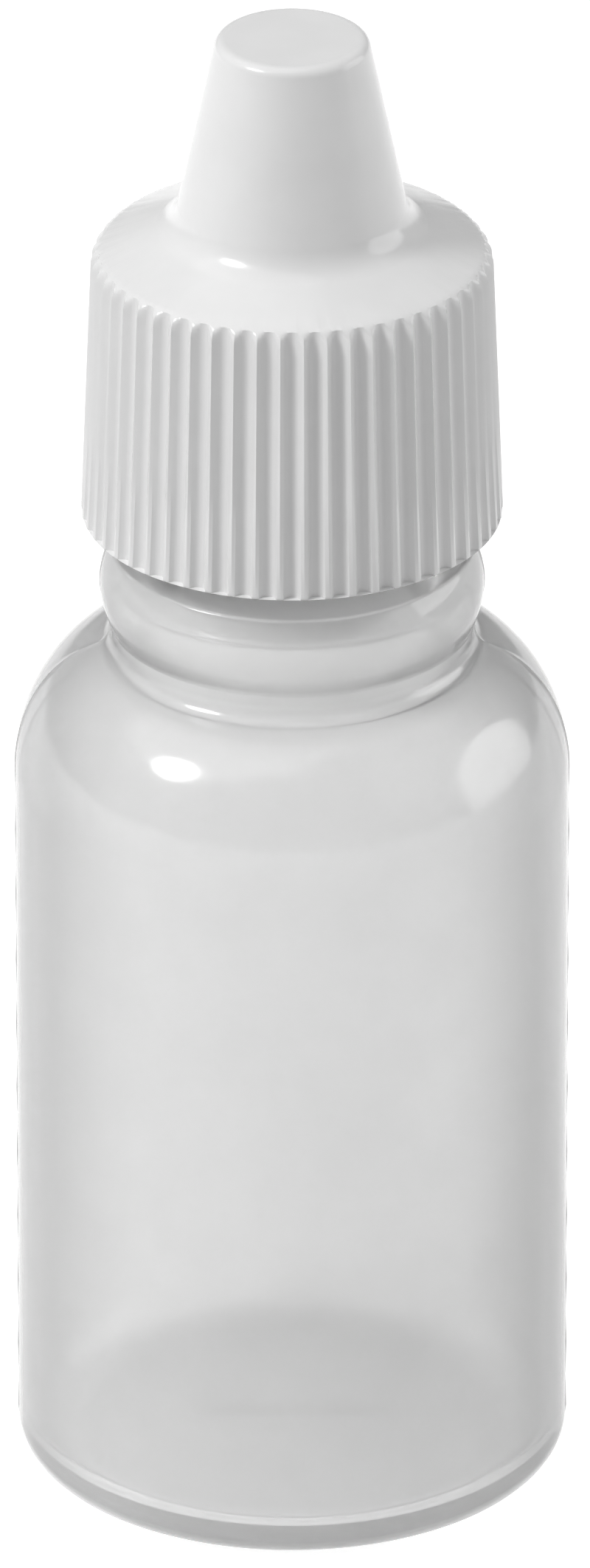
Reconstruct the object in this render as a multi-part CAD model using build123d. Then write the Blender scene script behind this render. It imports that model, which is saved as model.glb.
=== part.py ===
from build123d import *
import os
from math import acos, cos, degrees, pi, radians, sin, tan

# Squeeze dropper bottle, 15 mL class, millimetres. The origin is the centre of the base on the
# surface that it stands on, with +Z up the axis. Each screw thread is right-handed.

# ---- Bottle: body and shoulder ----
BODY_D = 25.0            # outside diameter of the barrel
WALL = 0.95              # wall of the barrel and shoulder
BARREL_TOP = 34.1        # height where the straight barrel ends
SHOULDER_RISE = 6.4      # height of the rounded shoulder
SHOULDER_TUCK = 0.8      # how far the shoulder's curve would run on inside the neck
CORNER_R = 1.35          # rounding between the barrel and the base
FLOOR = 1.1              # thickness of the base
INNER_CORNER_R = 1.2     # rounding between the floor and the wall inside
PUSH_UP = 0.8            # height of the hollow under the base at its middle
PUSH_UP_FULLNESS = 0.72  # share of that height reached halfway out
FOOT_W = 1.6             # width of the flat ring that the bottle stands on
SCAR_W = 0.5             # width of the pinch-off line under the base
SCAR_L = 9.0             # its length
SCAR_H = 0.3             # how far it stands down from the pushed-up base
FLOOR_SLOPE = 0.1        # fall of the floor where it meets the inside rounding

# ---- Bottle: neck, bead and mouth ----
FINISH_R = 6.55          # outside of the threaded neck, between its threads
FINISH_H = 12.8          # height of the threaded neck, from the bead to the mouth's rim
MOUTH_WALL = 1.25        # wall of the threaded neck
MOUTH_ROUND = 0.3        # rounding of the rim's outer edge
NECK_STEP = 1.65         # how much wider the lower neck is than the threaded neck
NECK_RISE = 1.1          # height of the lower neck between the shoulder and the bead
NECK_FILLET = 0.9        # hollow rounding between the shoulder and the neck
NECK_WALL = 1.1          # wall of the lower neck
BEAD_OUT = 0.45          # how far the bead bulges from the lower neck
BEAD_HALF = 1.9          # half the height of the bead
BEAD_FULLNESS = 0.75     # share of the bulge reached halfway up the bead
BEAD_TAPER = 0.3         # fall of the ledge on top of the bead
FLARE = 2.2              # height over which the bore widens into the lower neck

# ---- Screw thread shared by the neck and the cap ----
PITCH = 2.1              # rise of one turn
THREAD_OUT = 0.8         # height of the neck thread
THREAD_ROOT_W = 1.1      # width of a thread at its root
THREAD_FLANK = 22.0      # degrees that each flank leans
THREAD_PLAY = 0.12       # gap between the two loaded flanks
THREAD_CLEAR = 0.2       # gap between a crest and the wall it faces
THREAD_EMBED = 0.15      # how deep a thread is rooted in its wall
THREAD_DROP = 6.9        # from the mouth's rim down to the neck thread's lower end
NECK_TURNS = 2.0         # length of the neck thread
CAP_TURNS = 1.75         # length of the cap thread
CAP_LEAD = 0.5           # turns by which the cap thread starts lower than the neck thread
RUN_OUT = 1.8            # length of the slope at each end of a thread

# ---- Dropper tip ----
PLUG_FIT = 0.04          # radial running clearance of the plug's seal ribs in the bore
PLUG_RELIEF = 0.2        # how much slimmer the plug is between its seal ribs
PLUG_LEN = 7.6           # depth of the plug below the rim
PLUG_WALL = 0.85         # wall of the plug
PLUG_LEAD_R = 0.4        # how much slimmer the plug's end is, to lead it in
PLUG_LEAD_H = 1.2        # height of that taper
HOLLOW_CHAMFER = 0.8     # slope at the top of the plug's hollow
SEAL_RIB_W = 0.9         # width of one seal rib
SEAL_RIBS = 2            # how many seal ribs the plug has
FLANGE_GAP = 0.05        # between the flange and the mouth's rim
FLANGE_T = 1.0           # thickness of the flange
FLANGE_INSET = 0.25      # how far the flange stays inside the neck's outside
SPOUT_FOOT_R = 3.4       # spout radius at the flange
SPOUT_TIP_R = 1.9        # spout radius at its end
SPOUT_LEN = 8.8          # height of the spout above the flange
SPOUT_ROUND = 0.5        # rounding of the spout's end
DROP_R = 0.55            # drop orifice
CUP_R = 1.0              # small cup around the orifice, where the drop forms
CUP_DEPTH = 0.9          # depth of that cup
CUP_ROUND = 0.25         # slope at the foot of that cup
ROOF_T = 0.6             # how far the plug's hollow stops under the flange's top
SPOUT_WALL = 1.2         # wall of the spout around its hollow foot
SPOUT_HOLLOW = 4.5       # height of the hollow foot above the plug's roof

# ---- Screw cap ----
RIM_GAP = 1.6            # from the top of the bead to the cap's rim
RIM_CHAMFER = 0.4        # lead-in at the mouth of the cap
SKIRT_WALL = 1.45        # wall of the skirt at its top, ribs and all
SKIRT_FLARE = 0.5        # how much wider the skirt is at its rim
SEAT_GAP = 0.1           # between the cap's ceiling and the tip's flange
DOME_T = 0.7             # thickness of the cap's roof at its outer edge
DOME_ROUND = 0.85        # rounding between the skirt and the dome
DOME_SLOPE = 22.5        # degrees that the dome rises towards the tower
TOWER_FILLET = 1.6       # hollow rounding between the dome and the tower
TOWER_WALL = 1.15        # wall of the tower
TOWER_TAPER = 11.85      # degrees that the tower's side leans
TOWER_ROUND = 0.5        # rounding of the tower's top edge
SPOUT_ROOM = 0.59        # space round the spout's end inside the tower
SPOUT_HEADROOM = 1.1     # space above the spout's end inside the tower
RIB_COUNT = 54           # grip ribs round the skirt
RIB_DEPTH = 0.35         # depth of the grooves between the ribs
GROOVE_SHARE = 0.76      # share of the rib spacing that a groove takes up
PIN_CLEAR = 0.2          # between the sealing pin and the spout's cup
PIN_ROOT = 0.3           # how deep the pin is rooted in the tower's top
PIN_END_SHARE = 0.7      # how slim the pin's end is, as a share of its radius

OVER = 1.0               # how far a cutter runs past what it cuts

# ---- Worked out from the sizes above ----
BODY_R = BODY_D / 2
NECK_ROOT_R = FINISH_R + NECK_STEP
LOWER_NECK_R = NECK_ROOT_R - NECK_WALL
SHOULDER_RUN = BODY_R - NECK_ROOT_R + SHOULDER_TUCK
NECK_BASE_Z = BARREL_TOP + SHOULDER_RISE
BEAD_Z = NECK_BASE_Z + NECK_RISE + BEAD_HALF
BEAD_TOP = BEAD_Z + BEAD_HALF
MOUTH_Z = BEAD_TOP + FINISH_H
BORE_R = FINISH_R - MOUTH_WALL

THREAD_LEAN = tan(radians(THREAD_FLANK))
NECK_CREST_R = FINISH_R + THREAD_OUT
CAP_BORE_R = NECK_CREST_R + THREAD_CLEAR
CAP_CREST_R = FINISH_R + THREAD_CLEAR
NECK_THREAD_Z = MOUTH_Z - THREAD_DROP
LOADED_OFFSET = THREAD_ROOT_W - (CAP_BORE_R - FINISH_R) * THREAD_LEAN + THREAD_PLAY
CAP_THREAD_Z = NECK_THREAD_Z - LOADED_OFFSET - CAP_LEAD * PITCH

FLANGE_Z = MOUTH_Z + FLANGE_GAP
FLANGE_TOP = FLANGE_Z + FLANGE_T
SPOUT_TOP = FLANGE_TOP + SPOUT_LEN

RIM_Z = BEAD_TOP + RIM_GAP
CEILING_Z = FLANGE_TOP + SEAT_GAP
SKIRT_TOP_Z = CEILING_Z + DOME_T - DOME_ROUND
SKIRT_H = SKIRT_TOP_Z - RIM_Z
SKIRT_TOP_R = CAP_BORE_R + SKIRT_WALL
RIM_R = SKIRT_TOP_R + SKIRT_FLARE
TOWER_LEAN = tan(radians(TOWER_TAPER))
TOWER_ROOF_Z = SPOUT_TOP + SPOUT_HEADROOM
TOTAL_H = TOWER_ROOF_Z + TOWER_WALL
TOWER_SIDE_WALL = TOWER_WALL / cos(radians(TOWER_TAPER))
TOWER_TOP_R = SPOUT_TIP_R + SPOUT_ROOM + TOWER_SIDE_WALL - TOWER_WALL * TOWER_LEAN
GROOVE_R = pi * SKIRT_TOP_R / RIB_COUNT * GROOVE_SHARE


def spin(face):
    """Turn a flat outline, drawn as radius and height, into a round solid about Z."""
    return revolve(Plane.XZ * face, Axis.Z)


def corner(face, radius, height):
    """The outline's corner nearest to a radius and height."""
    return face.vertices().sort_by_distance(Vector(radius, height, 0))[0]


def run_out_cutter(r_root, r_crest, height, angle, side):
    """A wedge that slopes one end of a thread down to its wall. side is 1 at the start, -1 at the end."""
    out = r_crest - r_root
    low = Vector(r_root, 0)
    slope = Vector(out, RUN_OUT * side)
    outer = low + slope * (1 + OVER / RUN_OUT)
    back = Vector(outer.X, -OVER * side)
    outline = Polyline(low - slope * THREAD_EMBED, outer, back, close=True)
    wedge = extrude(make_face(outline), amount=THREAD_ROOT_W * 0.7, both=True)
    return Location((0, 0, height), (0, 0, angle)) * wedge


def thread(r_root, r_crest, z_start, turns, angle):
    """A right-handed thread with sloping ends, which stands out of, or into, a wall of radius r_root."""
    out = r_crest - r_root
    crest_half = THREAD_ROOT_W / 2 - abs(out) * THREAD_LEAN
    foot_half = THREAD_ROOT_W / 2 + THREAD_EMBED * THREAD_LEAN
    foot_r = r_root - THREAD_EMBED * out / abs(out)
    tooth = Polyline(
        (foot_r, -foot_half), (r_crest, -crest_half), (r_crest, crest_half), (foot_r, foot_half), close=True
    )
    path = Helix(PITCH, PITCH * turns, r_root)
    ridge = sweep(make_face(Plane.XZ * tooth), path, is_frenet=True)
    ridge -= run_out_cutter(r_root, r_crest, 0, 0, 1)
    ridge -= run_out_cutter(r_root, r_crest, PITCH * turns, 360 * turns, -1)
    return Location((0, 0, z_start), (0, 0, angle)) * ridge


def shoulder_arc(run, rise, end_r):
    """The shoulder's ellipse, from the barrel's top up and in to a radius."""
    centre_r = BODY_R - SHOULDER_RUN
    sweep_angle = degrees(acos((end_r - centre_r) / run))
    return EllipticalCenterArc((centre_r, BARREL_TOP), run, rise, 0, arc_size=sweep_angle)


def bottle_outside():
    """The bottle without its hollow: base, barrel, shoulder, neck, bead and mouth."""
    shoulder = shoulder_arc(SHOULDER_RUN, SHOULDER_RISE, NECK_ROOT_R)
    foot_out = BODY_R - CORNER_R
    under = ThreePointArc((0, PUSH_UP), (foot_out / 2, PUSH_UP * PUSH_UP_FULLNESS), (foot_out - FOOT_W, 0))
    foot = Line((foot_out - FOOT_W, 0), (foot_out, 0))
    turn_up = CenterArc((foot_out, CORNER_R), CORNER_R, -90, 90)
    barrel = Line((BODY_R, CORNER_R), (BODY_R, BARREL_TOP))
    bead_foot = BEAD_Z - BEAD_HALF
    root = Line(shoulder @ 1, (NECK_ROOT_R, bead_foot))
    bead_r = NECK_ROOT_R + BEAD_OUT
    halfway_r = NECK_ROOT_R + BEAD_OUT * BEAD_FULLNESS
    bead_low = ThreePointArc((NECK_ROOT_R, bead_foot), (halfway_r, BEAD_Z - BEAD_HALF / 2), (bead_r, BEAD_Z))
    bead_high = ThreePointArc((bead_r, BEAD_Z), (halfway_r, BEAD_Z + BEAD_HALF / 2), (NECK_ROOT_R, BEAD_TOP))
    finish = Polyline(
        (NECK_ROOT_R, BEAD_TOP), (FINISH_R, BEAD_TOP + BEAD_TAPER), (FINISH_R, MOUTH_Z), (0, MOUTH_Z),
        (0, PUSH_UP)
    )
    face = make_face([under, foot, turn_up, barrel, shoulder, root, bead_low, bead_high, finish])
    face = fillet(corner(face, NECK_ROOT_R, (shoulder @ 1).Y), NECK_FILLET)
    face = fillet(corner(face, FINISH_R, MOUTH_Z), MOUTH_ROUND)
    return spin(face)


def bottle_hollow():
    """The space for the liquid, from the floor up through the neck and out of the mouth."""
    inner_r = BODY_R - WALL
    middle_z = PUSH_UP + FLOOR
    roof = shoulder_arc(SHOULDER_RUN - WALL, SHOULDER_RISE - WALL, BODY_R - SHOULDER_RUN)
    floor_r = inner_r - INNER_CORNER_R
    side_z = FLOOR + INNER_CORNER_R
    floor = ThreePointArc((0, middle_z), (inner_r / 2, FLOOR + PUSH_UP * PUSH_UP_FULLNESS), (floor_r, FLOOR))
    turn_up = Spline((floor_r, FLOOR), (inner_r, side_z), tangents=[(1, -FLOOR_SLOPE), (0, 1)])
    side = Line((inner_r, side_z), (inner_r, BARREL_TOP))
    flare_z = BEAD_TOP + BEAD_TAPER
    rest = Polyline(
        roof @ 1, (LOWER_NECK_R, NECK_BASE_Z), (LOWER_NECK_R, flare_z - FLARE), (BORE_R, flare_z),
        (BORE_R, MOUTH_Z + OVER), (0, MOUTH_Z + OVER), (0, middle_z)
    )
    return spin(make_face([floor, turn_up, side, roof, rest]))


def base_scar():
    """The pinch-off line across the pushed-up base."""
    bar = Box(SCAR_L, SCAR_W, PUSH_UP, align=(Align.CENTER, Align.CENTER, Align.MIN))
    return Location((0, 0, PUSH_UP - SCAR_H)) * bar


def make_bottle():
    """The squeeze bottle with its threaded neck."""
    shell = bottle_outside() + thread(FINISH_R, NECK_CREST_R, NECK_THREAD_Z, NECK_TURNS, 0)
    return shell + base_scar() - bottle_hollow()


def make_dropper_tip():
    """The dropper insert: hollow plug with seal ribs, flange, and spout with its drop orifice."""
    rib_r = BORE_R - PLUG_FIT
    plug_r = rib_r - PLUG_RELIEF
    plug_end = FLANGE_Z - PLUG_LEN
    flange_r = FINISH_R - FLANGE_INSET
    body = Polyline(
        (0, plug_end), (plug_r - PLUG_LEAD_R, plug_end), (plug_r, plug_end + PLUG_LEAD_H), (plug_r, FLANGE_Z),
        (flange_r, FLANGE_Z), (flange_r, FLANGE_TOP), (SPOUT_FOOT_R, FLANGE_TOP), (SPOUT_TIP_R, SPOUT_TOP),
        (0, SPOUT_TOP), close=True
    )
    face = make_face(body)
    face = fillet(corner(face, SPOUT_TIP_R, SPOUT_TOP), SPOUT_ROUND)
    face = fillet(corner(face, flange_r, FLANGE_TOP), FLANGE_T * 0.3)
    tip = spin(face)
    spacing = (PLUG_LEN - PLUG_LEAD_H) / SEAL_RIBS
    for i in range(SEAL_RIBS):
        rib = Cylinder(rib_r, SEAL_RIB_W)
        rib = chamfer(rib.edges().filter_by(GeomType.CIRCLE), PLUG_RELIEF * 0.9)
        tip += Location((0, 0, FLANGE_Z - spacing * (i + 0.5))) * rib
    return tip - tip_passage(plug_end, plug_r - PLUG_WALL)


def tip_passage(plug_end, hollow_r):
    """The way through the tip: the plug's hollow, the spout's hollow foot, the orifice and the cup."""
    roof_z = FLANGE_TOP - ROOF_T
    foot_r = SPOUT_FOOT_R - SPOUT_WALL
    cup_z = SPOUT_TOP - CUP_DEPTH
    outline = Polyline(
        (0, plug_end - OVER), (hollow_r, plug_end - OVER), (hollow_r, roof_z - HOLLOW_CHAMFER),
        (hollow_r - HOLLOW_CHAMFER, roof_z), (foot_r, roof_z), (DROP_R, roof_z + SPOUT_HOLLOW),
        (DROP_R, cup_z), (CUP_R, cup_z + CUP_ROUND), (CUP_R, SPOUT_TOP + OVER), (0, SPOUT_TOP + OVER),
        close=True
    )
    return spin(make_face(outline))


def tower_radius(height):
    """The outside radius of the tower at a height."""
    return TOWER_TOP_R + (TOTAL_H - height) * TOWER_LEAN


def dome_corners():
    """Where the dome's slope would cross the tower's side, and where it leaves the rounding of its edge."""
    edge_r = SKIRT_TOP_R - DOME_ROUND + DOME_ROUND * sin(radians(DOME_SLOPE))
    edge_z = SKIRT_TOP_Z + DOME_ROUND * cos(radians(DOME_SLOPE))
    rise = tan(radians(DOME_SLOPE))
    radius = (tower_radius(edge_z) - rise * edge_r * TOWER_LEAN) / (1 - rise * TOWER_LEAN)
    return (radius, edge_z + (edge_r - radius) * rise), (edge_r, edge_z)


def cap_outside():
    """The cap without its hollow and ribs: skirt, dome and tower."""
    meet, edge = dome_corners()
    skirt = Line((RIM_R, RIM_Z), (SKIRT_TOP_R, SKIRT_TOP_Z))
    centre = (SKIRT_TOP_R - DOME_ROUND, SKIRT_TOP_Z)
    turn_in = CenterArc(centre, DOME_ROUND, 0, 90 - DOME_SLOPE)
    rest = Polyline(edge, meet, (TOWER_TOP_R, TOTAL_H), (0, TOTAL_H), (0, RIM_Z), (RIM_R, RIM_Z))
    face = make_face([skirt, turn_in, rest])
    face = fillet(corner(face, *meet), TOWER_FILLET)
    face = fillet(corner(face, TOWER_TOP_R, TOTAL_H), TOWER_ROUND)
    return spin(face)


def cap_hollow():
    """The space inside the cap: over the neck, and up inside the tower around the spout."""
    mouth_r = CAP_BORE_R + RIM_CHAMFER
    foot_r = tower_radius(CEILING_Z) - TOWER_SIDE_WALL
    roof_r = tower_radius(TOWER_ROOF_Z) - TOWER_SIDE_WALL
    outline = Polyline(
        (0, RIM_Z - OVER), (mouth_r, RIM_Z - OVER), (mouth_r, RIM_Z), (CAP_BORE_R, RIM_Z + RIM_CHAMFER),
        (CAP_BORE_R, CEILING_Z), (foot_r, CEILING_Z), (roof_r, TOWER_ROOF_Z), (0, TOWER_ROOF_Z), close=True
    )
    return spin(make_face(outline))


def sealing_pin():
    """The small pin inside the tower's top, which closes the drop orifice's cup."""
    pin_r = CUP_R - PIN_CLEAR
    end_z = SPOUT_TOP - CUP_DEPTH + PIN_CLEAR
    top_z = TOWER_ROOF_Z + PIN_ROOT
    outline = Polyline(
        (0, end_z), (pin_r * PIN_END_SHARE, end_z), (pin_r, end_z + pin_r / 2), (pin_r, top_z), (0, top_z),
        close=True
    )
    return spin(make_face(outline))


def grip_grooves():
    """The upright grooves that leave the grip ribs standing round the skirt."""
    lean = (RIM_R - SKIRT_TOP_R) / SKIRT_H
    out = GROOVE_R - RIB_DEPTH
    past = 2 * OVER
    low = (RIM_R + out + past * lean, 0, RIM_Z - past)
    high = (SKIRT_TOP_R + out - past * lean, 0, SKIRT_TOP_Z + past)
    path = Line(low, high)
    groove = sweep(Plane(origin=low, z_dir=path % 0) * Circle(GROOVE_R), path)
    return [Rotation(0, 0, 360 / RIB_COUNT * i) * groove for i in range(RIB_COUNT)]


def make_screw_cap():
    """The ribbed screw cap with its inside thread and sealing pin."""
    shell = cap_outside() - grip_grooves()
    shell = shell - cap_hollow() + sealing_pin()
    angle = -360 * CAP_LEAD
    return shell + thread(CAP_BORE_R, CAP_CREST_R, CAP_THREAD_Z, CAP_TURNS, angle)


NODES = {
    "bottle": make_bottle,
    "dropper_tip": make_dropper_tip,
    "screw_cap": make_screw_cap,
}

os.makedirs("parts", exist_ok=True)
for name, make in NODES.items():
    export_step(make(), f"parts/{name}.step")
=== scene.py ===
import logging
from dataclasses import dataclass, field
from enum import Enum
from math import acos, asin, atan2, cos, degrees, hypot, pi, radians, sin, sqrt, tan
from typing import Callable, Iterable, NamedTuple

import bmesh
import bpy
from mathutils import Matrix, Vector


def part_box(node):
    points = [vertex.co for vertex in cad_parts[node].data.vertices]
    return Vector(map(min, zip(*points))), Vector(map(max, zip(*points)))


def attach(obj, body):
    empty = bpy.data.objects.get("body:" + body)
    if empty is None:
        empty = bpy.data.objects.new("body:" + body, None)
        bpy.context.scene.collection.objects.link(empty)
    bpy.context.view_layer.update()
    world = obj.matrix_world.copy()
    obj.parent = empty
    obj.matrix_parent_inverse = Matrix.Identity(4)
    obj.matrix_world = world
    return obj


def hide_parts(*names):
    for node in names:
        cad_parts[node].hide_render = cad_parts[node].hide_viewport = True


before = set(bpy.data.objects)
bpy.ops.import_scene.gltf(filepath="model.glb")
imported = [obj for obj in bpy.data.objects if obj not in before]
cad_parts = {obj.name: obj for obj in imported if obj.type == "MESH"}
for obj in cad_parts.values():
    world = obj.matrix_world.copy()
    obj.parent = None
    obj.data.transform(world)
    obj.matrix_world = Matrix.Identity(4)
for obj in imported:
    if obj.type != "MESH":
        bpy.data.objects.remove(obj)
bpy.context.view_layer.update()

LOG = logging.getLogger("dropper_bottle")
MM = 0.001                 # one millimetre in metres
WELD = 1e-6                # points nearer than this are one point, in metres
SAME_PLACE = 0.001         # places nearer than this are the same place, in millimetres
SAME_DIGITS = 3            # decimal places, in millimetres, at which the parting line's places are matched
WHITE = (1, 1, 1, 1)

Point = tuple[float, float]            # radius and height in millimetres
Tone = tuple[float, float, float]
Socket = bpy.types.NodeSocket


class Corner(NamedTuple):
    """A point of an outline, as radius and height in millimetres, and how much it is rounded off."""

    radius: float
    height: float
    rounding: float = 0.0


def box_mm(node: str) -> tuple[Vector, Vector]:
    """The lowest and highest corners of a CAD node at rest, in millimetres.

    Args:
        node: the CAD node's name.

    Returns:
        The two corners.
    """
    low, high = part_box(node)
    return low / MM, high / MM


@dataclass
class Outline:
    """A run of corners, drawn as radius and height, that becomes a round body when it is spun about Z."""

    corners: list[Corner] = field(default_factory=list)
    spacing: float = 1.6      # longest straight step
    guard: float = 0.07       # the close step beside each corner, which keeps flat stretches flat
    guarded: float = 0.35     # shortest straight run that gets those close steps
    turn_step: float = 13.0   # degrees of turn for each step of a rounding

    def add(self, radius: float, height: float, rounding: float = 0.0) -> "Outline":
        """Add one corner and return the outline."""
        self.corners.append(Corner(radius, height, rounding))
        return self

    def follow(self, curve: Callable[[float], Point], steps: int) -> "Outline":
        """Add points along a curve.

        Args:
            curve: gives radius and height for a share from 0 to 1.
            steps: how many steps to take.

        Returns:
            The outline.
        """
        for step in range(steps + 1):
            self.add(*curve(step / steps))
        return self

    def points(self) -> list[Point]:
        """Work out the finished line.

        Returns:
            Radius and height of each point, with the corners rounded and long runs divided.
        """
        line: list[Point] = [self.corners[0][:2]]
        for index in range(1, len(self.corners)):
            corner = self.corners[index]
            if corner.rounding and index + 1 < len(self.corners):
                arc = self._rounded(self.corners[index - 1], corner, self.corners[index + 1])
            else:
                arc = [corner[:2]]
            line += self._straight(line[-1], arc[0])
            line += arc[1:]
        return line

    def _straight(self, start: Point, end: Point) -> list[Point]:
        """Divide a straight run, with a close step at each end.

        Args:
            start: where the run starts.
            end: where it ends.

        Returns:
            Its points after the first.
        """
        length = hypot(end[0] - start[0], end[1] - start[1])
        pieces = max(1, round(length / self.spacing))
        shares = {piece / pieces for piece in range(1, pieces + 1)}
        if length > self.guarded:
            shares |= {self.guard / length, 1 - self.guard / length}
        return [
            (start[0] + (end[0] - start[0]) * share, start[1] + (end[1] - start[1]) * share)
            for share in sorted(shares)
        ]

    def _rounded(self, before: Corner, corner: Corner, after: Corner) -> list[Point]:
        """Replace a corner with an arc that touches both of its sides.

        Args:
            before: the corner that the line comes from.
            corner: the corner to round.
            after: the corner that the line goes to.

        Returns:
            The arc's points, from the first side to the second.
        """
        middle = Vector(corner[:2])
        back = (Vector(before[:2]) - middle).normalized()
        onward = (Vector(after[:2]) - middle).normalized()
        half = acos(max(-1.0, min(1.0, back.dot(onward)))) / 2
        centre = middle + (back + onward).normalized() * corner.rounding / sin(half)
        reach = corner.rounding / tan(half)
        first = middle + back * reach - centre
        last = middle + onward * reach - centre
        start = atan2(first.y, first.x)
        turn = (atan2(last.y, last.x) - start + pi) % (2 * pi) - pi
        steps = max(2, round(abs(degrees(turn)) / self.turn_step))
        return [
            (
                centre.x + corner.rounding * cos(start + turn * step / steps),
                centre.y + corner.rounding * sin(start + turn * step / steps),
            )
            for step in range(steps + 1)
        ]


class Workpiece:
    """One mesh that is being shaped, with the hand tools that the bottle's pieces need."""

    def __init__(self, name: str) -> None:
        """Start from a small square on the axis, open in edit mode and selected.

        Args:
            name: the finished piece's name.
        """
        leave_edit_mode()
        bpy.ops.object.select_all(action="DESELECT")
        bpy.ops.mesh.primitive_plane_add(size=MM, location=(0, 0, 0))
        self.body = bpy.context.object
        self.body.name = name
        self.body.data.name = name
        bpy.ops.object.mode_set(mode="EDIT")
        bpy.ops.mesh.select_all(action="SELECT")

    def draw(self, line: list[Point]) -> None:
        """Shrink the square to one vertex and extrude that into a line of points in the XZ plane.

        Args:
            line: the line's points.
        """
        bpy.ops.mesh.merge(type="CENTER")
        bpy.ops.transform.translate(value=(line[0][0] * MM, 0, line[0][1] * MM))
        for before, after in zip(line, line[1:]):
            step = ((after[0] - before[0]) * MM, 0, (after[1] - before[1]) * MM)
            bpy.ops.mesh.extrude_region_move(TRANSFORM_OT_translate={"value": step})
        bpy.ops.mesh.select_all(action="SELECT")

    def spin(self, sectors: Iterable[tuple[float, int]]) -> None:
        """Spin the selected line about Z, sector by sector, from +X towards +Y.

        Args:
            sectors: for each sector, its angle in degrees and its number of steps.
        """
        for angle, steps in sectors:
            bpy.ops.mesh.spin(steps=steps, angle=radians(angle), center=(0, 0, 0), axis=(0, 0, -1))

    def block(self, length: float, width: float, low: float, high: float, ease: float) -> None:
        """Stretch the square along X and Y, extrude it upwards, and ease the block's edges.

        Args:
            length: size along X, in millimetres.
            width: size along Y.
            low: height of its lower face.
            high: height of its upper face.
            ease: how much its edges are rounded off.
        """
        bpy.ops.transform.resize(value=(length, width, 1), center_override=(0, 0, 0))
        bpy.ops.transform.translate(value=(0, 0, low * MM))
        bpy.ops.mesh.extrude_region_move(TRANSFORM_OT_translate={"value": (0, 0, (high - low) * MM)})
        bpy.ops.mesh.select_all(action="SELECT")
        bpy.ops.mesh.bevel(offset=ease * MM, segments=3, affect="EDGES")
        self.close()

    def repeat(self, count: int) -> None:
        """Copy the whole mesh round the axis.

        Args:
            count: how many there are in a full turn.
        """
        bpy.ops.mesh.select_all(action="SELECT")
        turn = 2 * pi * (count - 1) / count
        bpy.ops.mesh.spin(
            steps=count - 1, dupli=True, angle=turn, center=(0, 0, 0), axis=(0, 0, 1)
        )

    def close(self) -> None:
        """Merge doubled points and turn all faces outwards."""
        bpy.ops.mesh.select_all(action="SELECT")
        bpy.ops.mesh.remove_doubles(threshold=WELD)
        bpy.ops.mesh.normals_make_consistent(inside=False)

    def pick(self, wanted: Callable[[Vector], bool]) -> None:
        """Select the vertices at wanted places.

        Args:
            wanted: says of a place in millimetres whether its vertex is picked.
        """
        bpy.ops.mesh.select_all(action="DESELECT")
        bpy.ops.mesh.select_mode(type="VERT")
        mesh = bmesh.from_edit_mesh(self.body.data)
        for vertex in mesh.verts:
            vertex.select_set(wanted(vertex.co / MM))
        mesh.select_flush(True)
        bmesh.update_edit_mesh(self.body.data)

    def join(self, other: "Workpiece") -> None:
        """Unite with another closed piece, which is used up.

        Args:
            other: the piece to add.
        """
        leave_edit_mode()
        bpy.context.view_layer.objects.active = self.body
        union = self.body.modifiers.new("union", "BOOLEAN")
        union.operation = "UNION"
        union.solver = "EXACT"
        union.object = other.body
        bpy.ops.object.modifier_apply(modifier=union.name)
        bpy.data.objects.remove(other.body)

    def finish(self, crease: float) -> bpy.types.Object:
        """Smooth all but the sharp edges.

        Args:
            crease: edges that turn by more than this many degrees stay sharp.

        Returns:
            The finished object.
        """
        leave_edit_mode()
        bpy.ops.object.select_all(action="DESELECT")
        self.body.select_set(True)
        bpy.context.view_layer.objects.active = self.body
        bpy.ops.object.shade_smooth_by_angle(angle=radians(crease))
        return self.body


def leave_edit_mode() -> None:
    """Go back to object mode, if a mesh is still open."""
    if bpy.context.object and bpy.context.object.mode != "OBJECT":
        bpy.ops.object.mode_set(mode="OBJECT")


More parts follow.
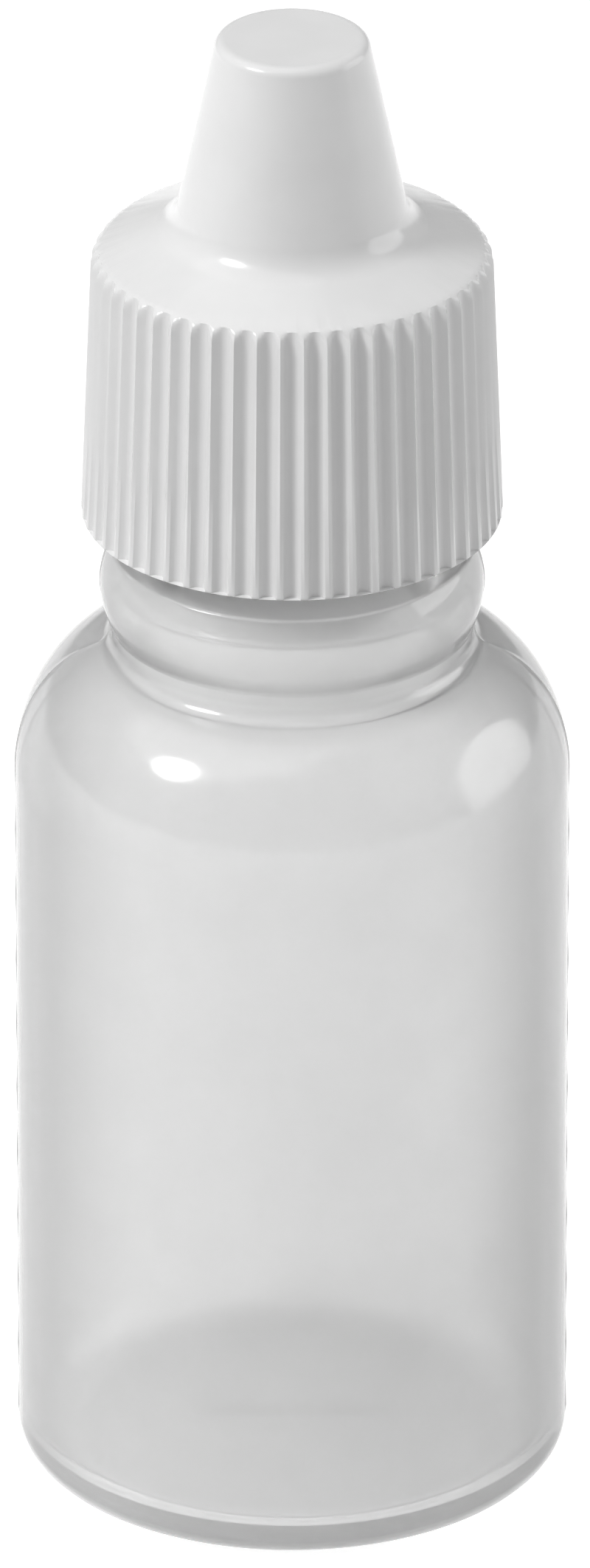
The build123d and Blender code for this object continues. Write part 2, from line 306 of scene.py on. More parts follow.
@dataclass(frozen=True)
class ScrewThread:
    """A right-handed thread, which stands out of a wall or into a bore. Sizes in millimetres."""

    root: float               # radius of the wall
    crest: float              # radius of the thread's crest
    start_height: float       # height of its lower end
    turns: float              # length
    start_angle: float = 0.0  # degrees from +X of its lower end
    pitch: float = 2.1        # rise of one turn
    width: float = 1.1        # width at the wall
    flank: float = 22.0       # degrees that each flank leans
    embed: float = 0.15       # how deep it is rooted in the wall
    crest_round: float = 0.13  # rounding of the crest's edges
    steps_per_turn: int = 72
    run_out: float = 0.045    # length of each sloping end, in turns
    thin_end: float = 0.12    # how slim a sloping end starts
    turn_step: float = 30.0   # degrees for each step of the crest's rounding

    def section(self) -> list[Point]:
        """Draw the tooth around height zero.

        Returns:
            Its closed outline.
        """
        out = self.crest - self.root
        lean = tan(radians(self.flank))
        foot_half = self.width / 2 + self.embed * lean
        crest_half = self.width / 2 - abs(out) * lean
        foot = self.root - self.embed * out / abs(out)
        tooth = Outline(turn_step=self.turn_step, guarded=2 * self.width)
        tooth.add(foot, -foot_half).add(self.crest, -crest_half, self.crest_round)
        tooth.add(self.crest, crest_half, self.crest_round).add(foot, foot_half).add(foot, -foot_half)
        return tooth.points()

    def build(self, name: str) -> Workpiece:
        """Wind the tooth's section up the helix.

        Args:
            name: a name for the thread's own mesh.

        Returns:
            The closed thread.
        """
        piece = Workpiece(name)
        piece.draw([(radius, height + self.start_height) for radius, height in self.section()])
        bpy.ops.mesh.remove_doubles(threshold=WELD)
        count = round(self.turns * self.steps_per_turn)
        angle = 360.0 * self.turns / count
        rise = self.pitch * self.turns / count
        for step in range(count + 1):
            if step:
                piece.spin([(angle, 1)])
                bpy.ops.transform.translate(value=(0, 0, rise * MM))
            ratio = self._fullness(step / count) / (self._fullness((step - 1) / count) if step else 1.0)
            turned = radians(angle * step)
            foot = Vector((self.root * cos(turned), self.root * sin(turned), self.start_height + rise * step))
            bpy.ops.transform.resize(value=(ratio,) * 3, center_override=foot * MM)
        bpy.ops.mesh.select_all(action="SELECT")
        bpy.ops.mesh.fill_holes(sides=0)
        bpy.ops.transform.rotate(
            value=-radians(self.start_angle), orient_axis="Z", center_override=(0, 0, 0)
        )
        piece.close()
        return piece

    def _fullness(self, share: float) -> float:
        """How full the tooth is at a share of the thread's length, slim at its two ends."""
        end = min(share, 1 - share) * self.turns / self.run_out
        return self.thin_end + (1 - self.thin_end) * min(1.0, max(0.0, end))


class Grain(Enum):
    """How a moulded surface's faint unevenness lies, as the stretch of its pattern along X, Y and Z."""

    EVEN = (1.0, 1.0, 1.0)
    DRAWN = (1.0, 1.0, 0.06)   # long upright lines, left by the die that the tube came out of


class Nodes:
    """A small helper that writes a material's nodes."""

    usual_low = 0.3    # a noise value is seldom lower
    usual_high = 0.7   # or higher

    def __init__(self, name: str) -> None:
        """Make an empty material.

        Args:
            name: the material's name.
        """
        self.material = bpy.data.materials.new(name)
        self.material.use_nodes = True
        self.tree = self.material.node_tree
        self.shader = self.tree.nodes["Principled BSDF"]
        self.place = self.tree.nodes.new("ShaderNodeTexCoord").outputs["Object"]

    def noise(self, size: float, grain: Grain, detail: float = 2.0) -> Socket:
        """Add a noise pattern.

        Args:
            size: the width of its spots in millimetres.
            grain: how it is stretched.
            detail: how many finer layers it has.

        Returns:
            Its value.
        """
        mapping = self.tree.nodes.new("ShaderNodeMapping")
        mapping.inputs["Scale"].default_value = grain.value
        texture = self.tree.nodes.new("ShaderNodeTexNoise")
        texture.inputs["Scale"].default_value = 1 / (size * MM)
        texture.inputs["Detail"].default_value = detail
        self.tree.links.new(self.place, mapping.inputs["Vector"])
        self.tree.links.new(mapping.outputs["Vector"], texture.inputs["Vector"])
        return texture.outputs["Fac"]

    def height(self) -> Socket:
        """Measure the height above the base.

        Returns:
            The height in millimetres.
        """
        split = self.tree.nodes.new("ShaderNodeSeparateXYZ")
        self.tree.links.new(self.place, split.inputs["Vector"])
        scaled = self.tree.nodes.new("ShaderNodeMath")
        scaled.operation = "DIVIDE"
        scaled.inputs[1].default_value = MM
        self.tree.links.new(split.outputs["Z"], scaled.inputs[0])
        return scaled.outputs["Value"]

    def slant(self) -> Socket:
        """Measure how far the surface is turned from the eye.

        Returns:
            0 where it is seen square on, and 1 where it is seen on edge.
        """
        weight = self.tree.nodes.new("ShaderNodeLayerWeight")
        weight.inputs["Blend"].default_value = 0.5
        return weight.outputs["Facing"]

    def ramp(self, value: Socket, start: float, end: float, low: float, high: float) -> Socket:
        """Turn a value into another one that changes smoothly between two limits.

        Args:
            value: the value that goes in.
            start: where the change starts.
            end: where it ends.
            low: what comes out up to the start.
            high: what comes out from the end on.

        Returns:
            What comes out.
        """
        spread = self.tree.nodes.new("ShaderNodeMapRange")
        spread.interpolation_type = "SMOOTHSTEP"
        spread.inputs["From Min"].default_value = start
        spread.inputs["From Max"].default_value = end
        spread.inputs["To Min"].default_value = low
        spread.inputs["To Max"].default_value = high
        self.tree.links.new(value, spread.inputs["Value"])
        return spread.outputs["Result"]

    def combine(self, first: Socket, second: Socket, operation: str = "MULTIPLY") -> Socket:
        """Make one value of two.

        Args:
            first: a value.
            second: another value.
            operation: how they are combined, as the Math node names it.

        Returns:
            The new value.
        """
        math = self.tree.nodes.new("ShaderNodeMath")
        math.operation = operation
        self.tree.links.new(first, math.inputs[0])
        self.tree.links.new(second, math.inputs[1])
        return math.outputs["Value"]

    def between(self, value: Socket, low: float, high: float) -> Socket:
        """Spread a noise value, which stays near a half, over a range.

        Args:
            value: the noise value.
            low: what a low value becomes.
            high: what a high value becomes.

        Returns:
            The value in its range.
        """
        return self.ramp(value, self.usual_low, self.usual_high, low, high)

    def tint(self, value: Socket, dark: Tone, light: Tone) -> None:
        """Colour the surface between two tones.

        Args:
            value: 0 for the dark tone and 1 for the light one.
            dark: the dark tone.
            light: the light tone.
        """
        mix = self.tree.nodes.new("ShaderNodeMix")
        mix.data_type = "RGBA"
        tones = [socket for socket in mix.inputs if socket.type == "RGBA"]
        tones[0].default_value = (*dark, 1)
        tones[1].default_value = (*light, 1)
        self.tree.links.new(value, mix.inputs[0])
        output = next(socket for socket in mix.outputs if socket.type == "RGBA")
        self.tree.links.new(output, self.shader.inputs["Base Color"])

    def relief(self, *layers: tuple[Socket, float]) -> None:
        """Give the surface a fine relief.

        Args:
            layers: for each layer, its height value and how deep it is in millimetres.
        """
        normal = None
        for height, depth in layers:
            bump = self.tree.nodes.new("ShaderNodeBump")
            bump.inputs["Distance"].default_value = depth * MM
            self.tree.links.new(height, bump.inputs["Height"])
            if normal:
                self.tree.links.new(normal, bump.inputs["Normal"])
            normal = bump.outputs["Normal"]
        self.tree.links.new(normal, self.shader.inputs["Normal"])


@dataclass(frozen=True)
class NaturalPolyethylene:
    """Uncoloured low-density polyethylene: milky, translucent, satin."""

    name: str = "natural_polyethylene"
    thin_tone: Tone = (0.94, 0.94, 0.94)
    # The dark tone is both the darkest of the milky clouds and the painted shade at the wall's edges.
    dark_cloud_and_painted_edge_tone: Tone = (0.45, 0.45, 0.45)
    cloudiness: float = 0.05    # how far the milky clouds go from the thin tone to the thick one
    clearness: float = 0.72     # share of the light that passes through the thin wall, met square on
    thick_loss: float = 0.76    # how much of that is left in the thick neck
    slant_start: float = 0.2    # slant from which a longer way through the wall begins to tell
    slant_end: float = 0.85     # slant at which it tells in full
    slant_loss: float = 0.3     # how much of the clearness is left where the wall is seen on edge
    neck_height: float = 40.5   # where the wall thickens towards the neck
    blend: float = 1.2          # how gradually it does
    # Painted light: up to this height the foot's rounding keeps the thin tone, as if the floor's own light
    # filled it.
    painted_foot_light_height: float = 0.7    # up to where the floor's own light fills the foot's rounding
    bend: float = 1.51          # index of refraction
    smoothest: float = 0.1
    roughest: float = 0.14
    cloud: float = 3.5          # width of the milky clouds in millimetres
    cloud_detail: float = 4.0
    gloss_patches: float = 2.0  # how many patches of differing gloss a cloud is wide
    line: float = 0.5           # width of the die's upright lines
    line_depth: float = 0.0008
    pebble: float = 1.6         # width of the mould's faint unevenness
    pebble_depth: float = 0.0025

    def material(self, grain: Grain) -> bpy.types.Material:
        """Make the material.

        Args:
            grain: how its fine lines lie.

        Returns:
            The material.
        """
        nodes = Nodes(f"{self.name}_{grain.name.lower()}")
        nodes.tree.links.new(self._clearness(nodes), nodes.shader.inputs["Transmission Weight"])
        nodes.shader.inputs["IOR"].default_value = self.bend
        clouds = nodes.between(nodes.noise(self.cloud, Grain.EVEN, self.cloud_detail), 1 - self.cloudiness, 1)
        # Painted shade: where the wall is seen on edge, the base colour darkens towards the dark tone.
        painted_edge_shade = nodes.ramp(nodes.slant(), self.slant_start, self.slant_end, 1, 0)
        # Painted light: at the foot the thin tone wins over the painted edge shade.
        foot = nodes.ramp(nodes.height(), self.painted_foot_light_height, 2 * self.painted_foot_light_height, 1, 0)
        clouds_and_painted_shade = nodes.combine(nodes.combine(clouds, painted_edge_shade), foot, "MAXIMUM")
        nodes.tint(clouds_and_painted_shade, self.dark_cloud_and_painted_edge_tone, self.thin_tone)
        patches = nodes.noise(self.cloud / self.gloss_patches, grain)
        rough = nodes.between(patches, self.smoothest, self.roughest)
        nodes.tree.links.new(rough, nodes.shader.inputs["Roughness"])
        nodes.relief(
            (nodes.noise(self.line, grain), self.line_depth),
            (nodes.noise(self.pebble, Grain.EVEN), self.pebble_depth),
        )
        return nodes.material

    def _clearness(self, nodes: Nodes) -> Socket:
        """Make the plastic milkier where its wall is thick, or is seen on edge.

        Args:
            nodes: the material's nodes.

        Returns:
            The share of the light that passes through.
        """
        low = self.neck_height - self.blend
        high = self.neck_height + self.blend
        neck = nodes.ramp(nodes.height(), low, high, 1, self.thick_loss)
        on_edge = self.clearness * self.slant_loss
        edge = nodes.ramp(nodes.slant(), self.slant_start, 1, self.clearness, on_edge)
        return nodes.combine(edge, neck)


@dataclass(frozen=True)
class WhitePolypropylene:
    """White polypropylene, half gloss, as a small injection-moulded cap has it."""

    name: str = "white_polypropylene"
    tone: Tone = (0.83, 0.83, 0.83)
    shade: Tone = (0.81, 0.81, 0.81)
    bend: float = 1.49
    smoothest: float = 0.15
    roughest: float = 0.22
    cloud: float = 2.5            # width of the faint clouds in millimetres
    detail: float = 3.0
    gloss_patches: float = 3.0    # how many patches of differing gloss a cloud is wide
    grain_size: float = 0.22      # width of the mould's fine grain
    grain_depth: float = 0.0004
    wave_depth: float = 0.0016    # depth of the slow unevenness, which is as wide as a cloud

    def material(self) -> bpy.types.Material:
        """Make the material.

        Returns:
            The material.
        """
        nodes = Nodes(self.name)
        nodes.shader.inputs["IOR"].default_value = self.bend
        clouds = nodes.noise(self.cloud, Grain.EVEN, self.detail)
        nodes.tint(nodes.between(clouds, 0, 1), self.shade, self.tone)
        patches = nodes.noise(self.cloud / self.gloss_patches, Grain.EVEN)
        rough = nodes.between(patches, self.smoothest, self.roughest)
        nodes.tree.links.new(rough, nodes.shader.inputs["Roughness"])
        nodes.relief(
            (nodes.noise(self.grain_size, Grain.EVEN, self.detail), self.grain_depth),
            (nodes.noise(self.cloud, Grain.EVEN), self.wave_depth),
        )
        return nodes.material


@dataclass(frozen=True)
class PaleFloor:
    """Plain pale card."""

    name: str = "pale_floor"
    tone: Tone = (0.42, 0.42, 0.42)
    spot_tone: Tone = (0.4158, 0.4158, 0.4158)
    spot: float = 60.0        # width of the faint spots in millimetres
    roughness: float = 0.9
    shine: float = 0.1
    glow: float = 0.85        # brightness added to the floor as it is seen, but not to what it throws back

    def material(self) -> bpy.types.Material:
        """Make the material.

        Returns:
            The material.
        """
        nodes = Nodes(self.name)
        nodes.tint(nodes.between(nodes.noise(self.spot, Grain.EVEN), 0, 1), self.spot_tone, self.tone)
        nodes.shader.inputs["Roughness"].default_value = self.roughness
        nodes.shader.inputs["Specular IOR Level"].default_value = self.shine
        nodes.shader.inputs["Emission Color"].default_value = WHITE
        ray = nodes.tree.nodes.new("ShaderNodeLightPath")
        seen = nodes.ramp(ray.outputs["Is Diffuse Ray"], 0, 1, self.glow, 0)
        nodes.tree.links.new(seen, nodes.shader.inputs["Emission Strength"])
        return nodes.material


def dress(piece: bpy.types.Object, material: bpy.types.Material, body: str) -> None:
    """Give a finished piece its material and its body, in place of its CAD node.

    Args:
        piece: the finished object, named as the CAD node with _visual behind it.
        material: what it is made of.
        body: the CAD body that it moves with, which here is also the CAD node's name.
    """
    piece.data.materials.clear()
    piece.data.materials.append(material)
    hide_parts(body)
    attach(piece, body)


@dataclass
class Bottle:
    """The squeeze bottle: base, barrel, shoulder, neck with its bead, threaded finish. Millimetres."""

    wall: float = 0.95
    barrel_top: float = 34.1
    shoulder_rise: float = 6.4
    shoulder_tuck: float = 0.8       # how far the shoulder's curve would run on inside the neck
    corner: float = 1.35             # rounding between barrel and base
    inner_corner: float = 1.2
    floor: float = 1.1
    push_up: float = 0.8             # hollow under the base
    push_up_power: float = 2.3       # how full that hollow is
    push_up_end: float = 0.97        # share of the way out at which the foot's rounding takes over
    floor_end: float = 0.99          # the same inside
    foot_width: float = 1.6
    foot_round: float = 0.3
    finish: float = 6.55             # outside radius of the threaded neck
    finish_height: float = 12.8
    mouth_wall: float = 1.25
    mouth_round: float = 0.3
    bore_round: float = 0.5          # rounding at both ends of the flare
    neck: float = 8.2                # outside radius of the lower neck
    neck_wall: float = 1.1
    neck_rise: float = 1.1
    neck_fillet: float = 0.9
    fillet_run: float = 0.75         # where the shoulder's curve gives way to that fillet
    inner_fillet: float = 0.8
    bead: float = 0.45
    bead_half: float = 1.9
    ledge_fall: float = 0.3
    ledge_round: float = 0.2
    flare: float = 2.2
    thread_out: float = 0.8
    thread_drop: float = 6.9
    thread_turns: float = 2.0
    flash: float = 0.0035            # how far the parting line stands out, as a share of the radius
    flash_angle: float = 0.35        # half its width, in degrees
    scar_length: float = 9.0
    scar_width: float = 0.5
    scar_drop: float = 0.3
    scar_round: float = 0.15
    base_steps: int = 12
    shoulder_steps: int = 26
    inner_shoulder_steps: int = 22
    bead_steps: int = 14
    half_steps: int = 84             # steps of half a turn, between the parting lines
    crease: float = 38.0             # edges that turn by more degrees stay sharp

    def __post_init__(self) -> None:
        """Take the barrel's radius and the mouth's height from the frame."""
        low, high = box_mm("bottle")
        self.radius = high.x
        self.mouth = high.z
        self.bead_top = self.mouth - self.finish_height
        self.neck_base = self.barrel_top + self.shoulder_rise
        self.shoulder_centre = self.neck - self.shoulder_tuck
        self.bore = self.finish - self.mouth_wall

    def outside(self) -> Outline:
        """Draw the outside.

        Returns:
            The outline from the middle of the base up to the mouth.
        """
        line = Outline()
        foot_in = self.radius - self.corner - self.foot_width
        line.follow(lambda share: self._dome(share * self.push_up_end, foot_in, 0.0), self.base_steps)
        line.add(foot_in, 0, self.foot_round)
        line.add(self.radius, 0, self.corner)
        line.add(self.radius, self.barrel_top)
        run = self.radius - self.shoulder_centre
        stop = acos((self.neck + self.fillet_run - self.shoulder_centre) / run)
        line.follow(lambda share: self._ellipse(share * stop, run, self.shoulder_rise), self.shoulder_steps)
        last = line.corners[-1]
        slope = self.shoulder_rise * cos(stop) / (run * sin(stop))
        line.add(self.neck, last.height + (last.radius - self.neck) * slope, self.neck_fillet)
        line.follow(self._bead, self.bead_steps)
        line.corners[-1] = Corner(self.neck, self.bead_top, self.ledge_round)
        line.add(self.finish, self.bead_top + self.ledge_fall, self.ledge_round)
        line.add(self.finish, self.mouth, self.mouth_round)
        return line

    def whole(self) -> Outline:
        """Draw the outside and then the hollow.

        Returns:
            The outline from the middle of the base over the mouth to the middle of the floor.
        """
        line = self.outside()
        flare_top = self.bead_top + self.ledge_fall
        inner = self.radius - self.wall
        neck_inner = self.neck - self.neck_wall
        line.add(self.bore, self.mouth, self.mouth_round / 2)
        line.add(self.bore, flare_top, self.bore_round)
        line.add(neck_inner, flare_top - self.flare, self.bore_round)
        roof = self.shoulder_rise - self.wall
        run = inner - self.shoulder_centre
        stop = acos((neck_inner + self.fillet_run - self.shoulder_centre) / run)
        end = self._ellipse(stop, run, roof)
        slope = roof * cos(stop) / (run * sin(stop))
        line.add(neck_inner, end[1] + (end[0] - neck_inner) * slope, self.inner_fillet)
        line.follow(lambda share: self._ellipse((1 - share) * stop, run, roof), self.inner_shoulder_steps)
        line.add(inner, self.floor, self.inner_corner)
        floor_in = inner - self.inner_corner
        line.follow(
            lambda share: self._dome((1 - share) * self.floor_end, floor_in, self.floor), self.base_steps
        )
        return line

    def build(self) -> bpy.types.Object:
        """Spin the outline, raise the parting line, and add the thread and the base's pinch-off line.

        Returns:
            The finished bottle.
        """
        piece = Workpiece("bottle_visual")
        piece.draw(self.whole().points())
        fine = (self.flash_angle, 1)
        half_turn = (fine, (180 - 2 * self.flash_angle, self.half_steps), fine)
        piece.spin(half_turn + half_turn)
        piece.close()
        ridge = {
            (round(radius, SAME_DIGITS), round(height, SAME_DIGITS))
            for radius, height in self.outside().points()
            if radius > self.finish and height > self.foot_round
        }
        # A barrel height halfway between two thousandths can round away from the mesh's and stay unraised.
        piece.pick(
            lambda place: abs(place.y) < SAME_PLACE
            and (round(abs(place.x), SAME_DIGITS), round(place.z, SAME_DIGITS)) in ridge
        )
        bpy.ops.transform.resize(value=(1 + self.flash, 1, 1), center_override=(0, 0, 0))
        piece.join(self.thread().build("neck_thread"))
        piece.join(self._scar())
        return piece.finish(self.crease)

    def thread(self) -> ScrewThread:
        """The thread on the neck."""
        start = self.mouth - self.thread_drop
        return ScrewThread(self.finish, self.finish + self.thread_out, start, self.thread_turns)

    def _ellipse(self, angle: float, run: float, rise: float) -> Point:
        """A point of the shoulder's curve."""
        return self.shoulder_centre + run * cos(angle), self.barrel_top + rise * sin(angle)

    def _dome(self, share: float, reach: float, height: float) -> Point:
        """A point of the pushed-up base, at a share of the way out from the middle."""
        return share * reach, height + self.push_up * (1 - share ** self.push_up_power)

    def _bead(self, share: float) -> Point:
        """Find a point of the bead's bulge.

        Args:
            share: the share of the way from its foot to its top.

        Returns:
            The point.
        """
        across = 2 * share - 1
        middle = self.bead_top - self.bead_half
        return self.neck + self.bead * (1 - across * across), middle + across * self.bead_half

    def _scar(self) -> Workpiece:
        """Make the raised line across the base where the tube was pinched shut.

        Returns:
            The closed bar.
        """
        scar = Workpiece("pinch_off")
        low = self.push_up - self.scar_drop
        high = self.push_up + self.scar_drop
        scar.block(self.scar_length, self.scar_width, low, high, self.scar_round)
        return scar


@dataclass
class DropperTip:
    """The press-in dropper insert: hollow plug with seal ribs, flange and spout. Millimetres."""

    plug: float = 5.06            # radius of the plug between its seal ribs
    plug_wall: float = 0.85
    seal: float = 5.26            # radius of a seal rib
    seal_width: float = 0.9
    seals: int = 2
    lead: float = 0.4             # how much slimmer the plug's end is
    lead_height: float = 1.2
    plug_length: float = 7.6
    flange_thick: float = 1.0
    flange_round: float = 0.3
    spout_foot: float = 3.4
    spout_tip: float = 1.9
    spout_round: float = 0.5
    orifice: float = 0.55
    cup: float = 1.0
    cup_depth: float = 0.9
    cup_slope: float = 0.25
    roof: float = 0.6
    chamfer: float = 0.8
    hollow_height: float = 4.5
    hollow_foot: float = 2.2
    edge: float = 0.12            # rounding of small edges
    seal_round: float = 0.05
    steps: int = 144
    crease: float = 38.0          # edges that turn by more degrees stay sharp

    def __post_init__(self) -> None:
        """Take the insert's place from the frame."""
        low, high = box_mm("dropper_tip")
        self.bottom = low.z
        self.top = high.z
        self.flange = high.x
        self.flange_low = self.bottom + self.plug_length
        self.flange_top = self.flange_low + self.flange_thick

    def outline(self) -> Outline:
        """Draw the section.

        Returns:
            The closed outline, from the plug's end round the outside and back down the passage.
        """
        hollow = self.plug - self.plug_wall
        line = Outline()
        line.add(hollow, self.bottom + self.edge).add(hollow + self.edge, self.bottom)
        line.add(self.plug - self.lead, self.bottom, self.edge)
        line.add(self.plug, self.bottom + self.lead_height, self.edge)
        spacing = (self.plug_length - self.lead_height) / self.seals
        slope = self.seal - self.plug
        for index in reversed(range(self.seals)):
            middle = self.flange_low - spacing * (index + 0.5)
            line.add(self.plug, middle - self.seal_width / 2)
            line.add(self.seal, middle - self.seal_width / 2 + slope, self.seal_round)
            line.add(self.seal, middle + self.seal_width / 2 - slope, self.seal_round)
            line.add(self.plug, middle + self.seal_width / 2)
        line.add(self.plug, self.flange_low, self.edge / 2)
        line.add(self.flange, self.flange_low, self.edge)
        line.add(self.flange, self.flange_top, self.flange_round)
        line.add(self.spout_foot, self.flange_top, self.flange_round)
        line.add(self.spout_tip, self.top, self.spout_round)
        cup_floor = self.top - self.cup_depth
        line.add(self.cup, self.top, self.edge)
        line.add(self.cup, cup_floor + self.cup_slope, self.edge)
        line.add(self.orifice, cup_floor, self.edge)
        roof = self.flange_top - self.roof
        line.add(self.orifice, roof + self.hollow_height).add(self.hollow_foot, roof, self.edge)
        line.add(hollow - self.chamfer, roof).add(hollow, roof - self.chamfer)
        line.add(hollow, self.bottom + self.edge)
        return line

    def build(self) -> bpy.types.Object:
        """Spin the section.

        Returns:
            The finished insert.
        """
        piece = Workpiece("dropper_tip_visual")
        piece.draw(self.outline().points())
        bpy.ops.mesh.remove_doubles(threshold=WELD)
        piece.spin([(360, self.steps)])
        piece.close()
        return piece.finish(self.crease)


@dataclass
class ScrewCap:
    """The ribbed screw cap with its tall tower, inside thread and sealing pin. Millimetres."""

    bore: float = 7.55
    bore_round: float = 0.3
    skirt_top: float = 9.0          # radius of the skirt where the dome starts
    ceiling: float = 59.35
    roof_thick: float = 0.7
    dome_round: float = 0.85
    dome_slope: float = 22.5        # degrees
    tower_fillet: float = 1.6
    tower_top: float = 3.424
    tower_taper: float = 11.85      # degrees
    tower_round: float = 0.5
    tower_wall: float = 1.15
    hollow_foot_round: float = 0.4
    hollow_top_round: float = 0.3
    rim_round: float = 0.14
    rim_chamfer: float = 0.4
    ribs: int = 54
    rib_depth: float = 0.35
    groove: float = 0.398           # radius of a groove's round section
    groove_steps: int = 8
    edge_ease: float = 0.03         # how much a rib's edges are worn down
    least_sink: float = 0.0001      # a groove shallower than this is left out
    rim_rows: int = 4               # rows of points past the widest one that a groove may reach
    pin: float = 0.8
    pin_end: float = 67.35
    pin_slim: float = 0.7
    pin_root: float = 0.2
    pin_round: float = 0.1
    thread_in: float = 0.8
    thread_start: float = 49.434
    thread_turns: float = 1.75
    thread_angle: float = -180.0
    crease: float = 30.0            # edges that turn by more degrees stay sharp

    def __post_init__(self) -> None:
        """Take the cap's height, rim and radius from the frame."""
        low, high = box_mm("screw_cap")
        self.rim_height = low.z
        self.top = high.z
        self.rim = high.x
        self.lean = tan(radians(self.tower_taper))

    def tower(self, height: float) -> float:
        """The tower's outside radius at a height."""
        return self.tower_top + (self.top - height) * self.lean

    def outline(self) -> Outline:
        """Draw the section.

        Returns:
            The outline from the middle of the top down the outside and up the hollow to the pin.
        """
        rise = tan(radians(self.dome_slope))
        skirt_round_z = self.ceiling + self.roof_thick - self.dome_round
        edge_r = self.skirt_top - self.dome_round * (1 - sin(radians(self.dome_slope)))
        edge_z = skirt_round_z + self.dome_round * cos(radians(self.dome_slope))
        foot_r = (self.tower(edge_z) - rise * edge_r * self.lean) / (1 - rise * self.lean)
        line = Outline()
        line.add(0, self.top).add(self.tower_top, self.top, self.tower_round)
        line.add(foot_r, edge_z + (edge_r - foot_r) * rise, self.tower_fillet)
        line.add(self.skirt_top, edge_z - (self.skirt_top - edge_r) * rise, self.dome_round)
        line.add(self.rim, self.rim_height, self.rim_round)
        line.add(self.bore + self.rim_chamfer, self.rim_height, self.rim_round)
        line.add(self.bore, self.rim_height + self.rim_chamfer, self.rim_round)
        line.add(self.bore, self.ceiling, self.bore_round)
        side_wall = self.tower_wall / cos(radians(self.tower_taper))
        roof = self.top - self.tower_wall
        line.add(self.tower(self.ceiling) - side_wall, self.ceiling, self.hollow_foot_round)
        line.add(self.tower(roof) - side_wall, roof, self.hollow_top_round)
        line.add(self.pin, roof, self.pin_root)
        line.add(self.pin, self.pin_end + self.pin / 2, self.pin_round)
        line.add(self.pin * self.pin_slim, self.pin_end, self.pin_round).add(0, self.pin_end)
        return line

    def groove_angles(self) -> list[float]:
        """Divide a groove's width into columns.

        Returns:
            The columns' angles from the groove's middle, in degrees, from edge to edge.
        """
        out = self.groove - self.rib_depth
        half = degrees(asin(sqrt(self.groove ** 2 - out ** 2) / (self.rim + out)))
        return [half * (2 * step / self.groove_steps - 1) for step in range(self.groove_steps + 1)]

    def sunk(self, height: float, angle: float) -> float:
        """How far out a groove lets the surface stand.

        Args:
            height: the height in millimetres.
            angle: degrees from the groove's middle.

        Returns:
            The radius of the groove's surface there.
        """
        skirt_height = self.ceiling + self.roof_thick - self.dome_round - self.rim_height
        flare = (self.rim - self.skirt_top) / skirt_height
        middle = self.rim - (height - self.rim_height) * flare + self.groove - self.rib_depth
        across = middle * sin(radians(angle))
        return middle * cos(radians(angle)) - sqrt(max(0.0, self.groove ** 2 - across ** 2))

    def build(self) -> bpy.types.Object:
        """Make one rib's sector, sink its groove, copy it all round, and add the thread.

        Returns:
            The finished cap.
        """
        piece = Workpiece("screw_cap_visual")
        line = self.outline().points()
        piece.draw(line)
        angles = self.groove_angles()
        pitch = 360 / self.ribs
        land = pitch / 2 - angles[-1]
        piece.spin([(land, 1), (2 * angles[-1], self.groove_steps), (land, 1)])
        rim_index = max(range(len(line)), key=lambda index: line[index][0])
        low = self.rim_height - self.rim_round
        inmost = self.skirt_top - self.dome_round
        rows = [point for point in line[: rim_index + self.rim_rows] if point[0] > inmost]
        for angle in angles:
            turned = radians(pitch / 2 + angle)
            for radius, height in rows:
                ease = self.edge_ease if abs(angle) == angles[-1] else 0.0
                sink = min(0.0, self.sunk(height, angle) - radius) - ease
                if sink > -self.least_sink or height < low:
                    continue
                place = Vector((radius * cos(turned), radius * sin(turned), height))
                piece.pick(lambda spot: (spot - place).length < SAME_PLACE)
                bpy.ops.transform.translate(value=(sink * cos(turned) * MM, sink * sin(turned) * MM, 0))
        piece.repeat(self.ribs)
        piece.close()
        thread = ScrewThread(
            self.bore, self.bore - self.thread_in, self.thread_start, self.thread_turns, self.thread_angle
        )
        piece.join(thread.build("cap_thread"))
        return piece.finish(self.crease)


@dataclass(frozen=True)
class SoftLight:
    """One softbox, aimed at the object."""

    name: str
    side: float        # degrees round from the camera's side, to the right
    height: float      # degrees up
    distance: float    # metres
    size: float        # metres
    power: float       # watts

    def hang(self, target: Vector) -> None:
        """Hang the light.

        Args:
            target: where it is aimed, in metres.
        """
        leave_edit_mode()
        way = view_direction(self.side, self.height)
        bpy.ops.object.light_add(type="AREA", location=target + way * self.distance)
        lamp = bpy.context.object
        lamp.name = self.name
        lamp.data.shape = "DISK"
        lamp.data.size = self.size
        lamp.data.energy = self.power
        lamp.rotation_euler = way.to_track_quat("Z", "Y").to_euler()


def view_direction(side: float, height: float) -> Vector:
    """The way from the object towards a place round it.

    Args:
        side: degrees round from -Y, to the right.
        height: degrees up.

    Returns:
        A vector of length one.
    """
    turn, up = radians(side), radians(height)
    return Vector((sin(turn) * cos(up), -cos(turn) * cos(up), sin(up)))


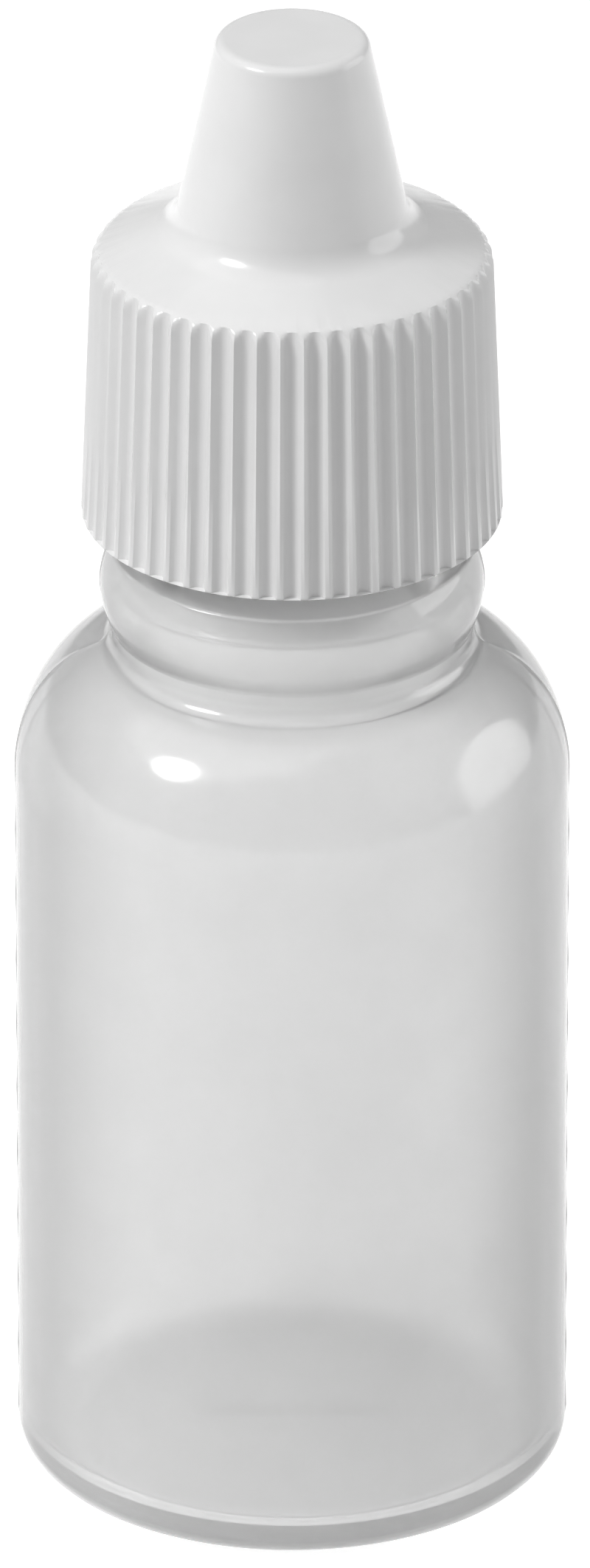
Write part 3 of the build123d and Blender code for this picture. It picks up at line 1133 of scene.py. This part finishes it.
@dataclass
class Studio:
    """Floor, soft light and camera."""

    lights: tuple[SoftLight, ...] = (
        SoftLight(name="key_light", side=-65, height=43, distance=1.2, size=0.36, power=7.0),
        SoftLight(name="side_light", side=100, height=10, distance=1.2, size=1.0, power=5.8),
        SoftLight(name="top_light", side=-85, height=71, distance=1.8, size=2.2, power=10.4),
    )
    floor_size: float = 6.0
    room: float = 0.31               # brightness of the room as it lights the object
    backdrop: float = 1.0            # brightness of the room as it is seen, also through the bottle
    camera_height: float = 26.65     # degrees
    camera_distance: float = 1.1     # metres
    aim_height: float = 33.14 * MM
    aim_side: float = 0.13 * MM
    view_height: float = 70.86 * MM  # what the frame takes in, top to bottom
    sensor: float = 36.0             # millimetres
    far: float = 20.0                # metres that the camera sees
    bounces: int = 24
    surface_bounces: int = 12

    def lay_floor(self) -> None:
        """Lay the floor and give it the pale floor's material."""
        leave_edit_mode()
        bpy.ops.object.select_all(action="DESELECT")
        bpy.ops.mesh.primitive_plane_add(size=self.floor_size, location=(0, 0, 0))
        floor = bpy.context.object
        floor.name = "studio_floor"
        floor.data.materials.append(PaleFloor().material())

    def light(self) -> None:
        """Hang the lights and set the room's own brightness."""
        target = Vector((0, 0, self.aim_height))
        for light in self.lights:
            light.hang(target)
        world = bpy.data.worlds.new("room")
        bpy.context.scene.world = world
        world.use_nodes = True
        background = world.node_tree.nodes["Background"]
        background.inputs["Color"].default_value = WHITE
        tree = world.node_tree
        ray = tree.nodes.new("ShaderNodeLightPath")
        direct = tree.nodes.new("ShaderNodeMath")
        direct.operation = "MAXIMUM"
        shown = tree.nodes.new("ShaderNodeMapRange")
        shown.inputs["To Min"].default_value = self.room
        shown.inputs["To Max"].default_value = self.backdrop
        tree.links.new(ray.outputs["Is Camera Ray"], direct.inputs[0])
        tree.links.new(ray.outputs["Is Transmission Ray"], direct.inputs[1])
        tree.links.new(direct.outputs["Value"], shown.inputs["Value"])
        tree.links.new(shown.outputs["Result"], background.inputs["Strength"])

    def place_camera(self) -> None:
        """Stand the camera where it takes in the whole object from a little above."""
        leave_edit_mode()
        way = view_direction(0, self.camera_height)
        aim = Vector((self.aim_side, 0, self.aim_height))
        bpy.ops.object.camera_add(location=aim + way * self.camera_distance)
        camera = bpy.context.object
        camera.name = "camera"
        camera.rotation_euler = way.to_track_quat("Z", "Y").to_euler()
        camera.data.sensor_fit = "VERTICAL"
        camera.data.sensor_height = self.sensor
        camera.data.lens = self.sensor * self.camera_distance / self.view_height
        camera.data.clip_end = self.far
        bpy.context.scene.camera = camera
        bpy.context.scene.view_settings.view_transform = "Standard"

    def allow_bounces(self) -> None:
        """Let light bounce often enough to come out of the milky wall again."""
        cycles = bpy.context.scene.cycles
        cycles.max_bounces = self.bounces
        cycles.transmission_bounces = self.bounces
        cycles.diffuse_bounces = self.surface_bounces
        cycles.glossy_bounces = self.surface_bounces


def main() -> None:
    """Build the pieces in order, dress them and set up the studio."""
    logging.basicConfig(level=logging.INFO, format="%(name)s: %(message)s")
    milky = NaturalPolyethylene()
    bottle = Bottle().build()
    dress(bottle, milky.material(Grain.DRAWN), "bottle")
    tip = DropperTip().build()
    dress(tip, milky.material(Grain.EVEN), "dropper_tip")
    cap = ScrewCap().build()
    dress(cap, WhitePolypropylene().material(), "screw_cap")
    for piece in (bottle, tip, cap):
        LOG.info("%s: %d vertices, %d faces", piece.name, len(piece.data.vertices), len(piece.data.polygons))
    studio = Studio()
    studio.lay_floor()
    studio.light()
    studio.place_camera()
    studio.allow_bounces()


if __name__ == "__main__":
    main()
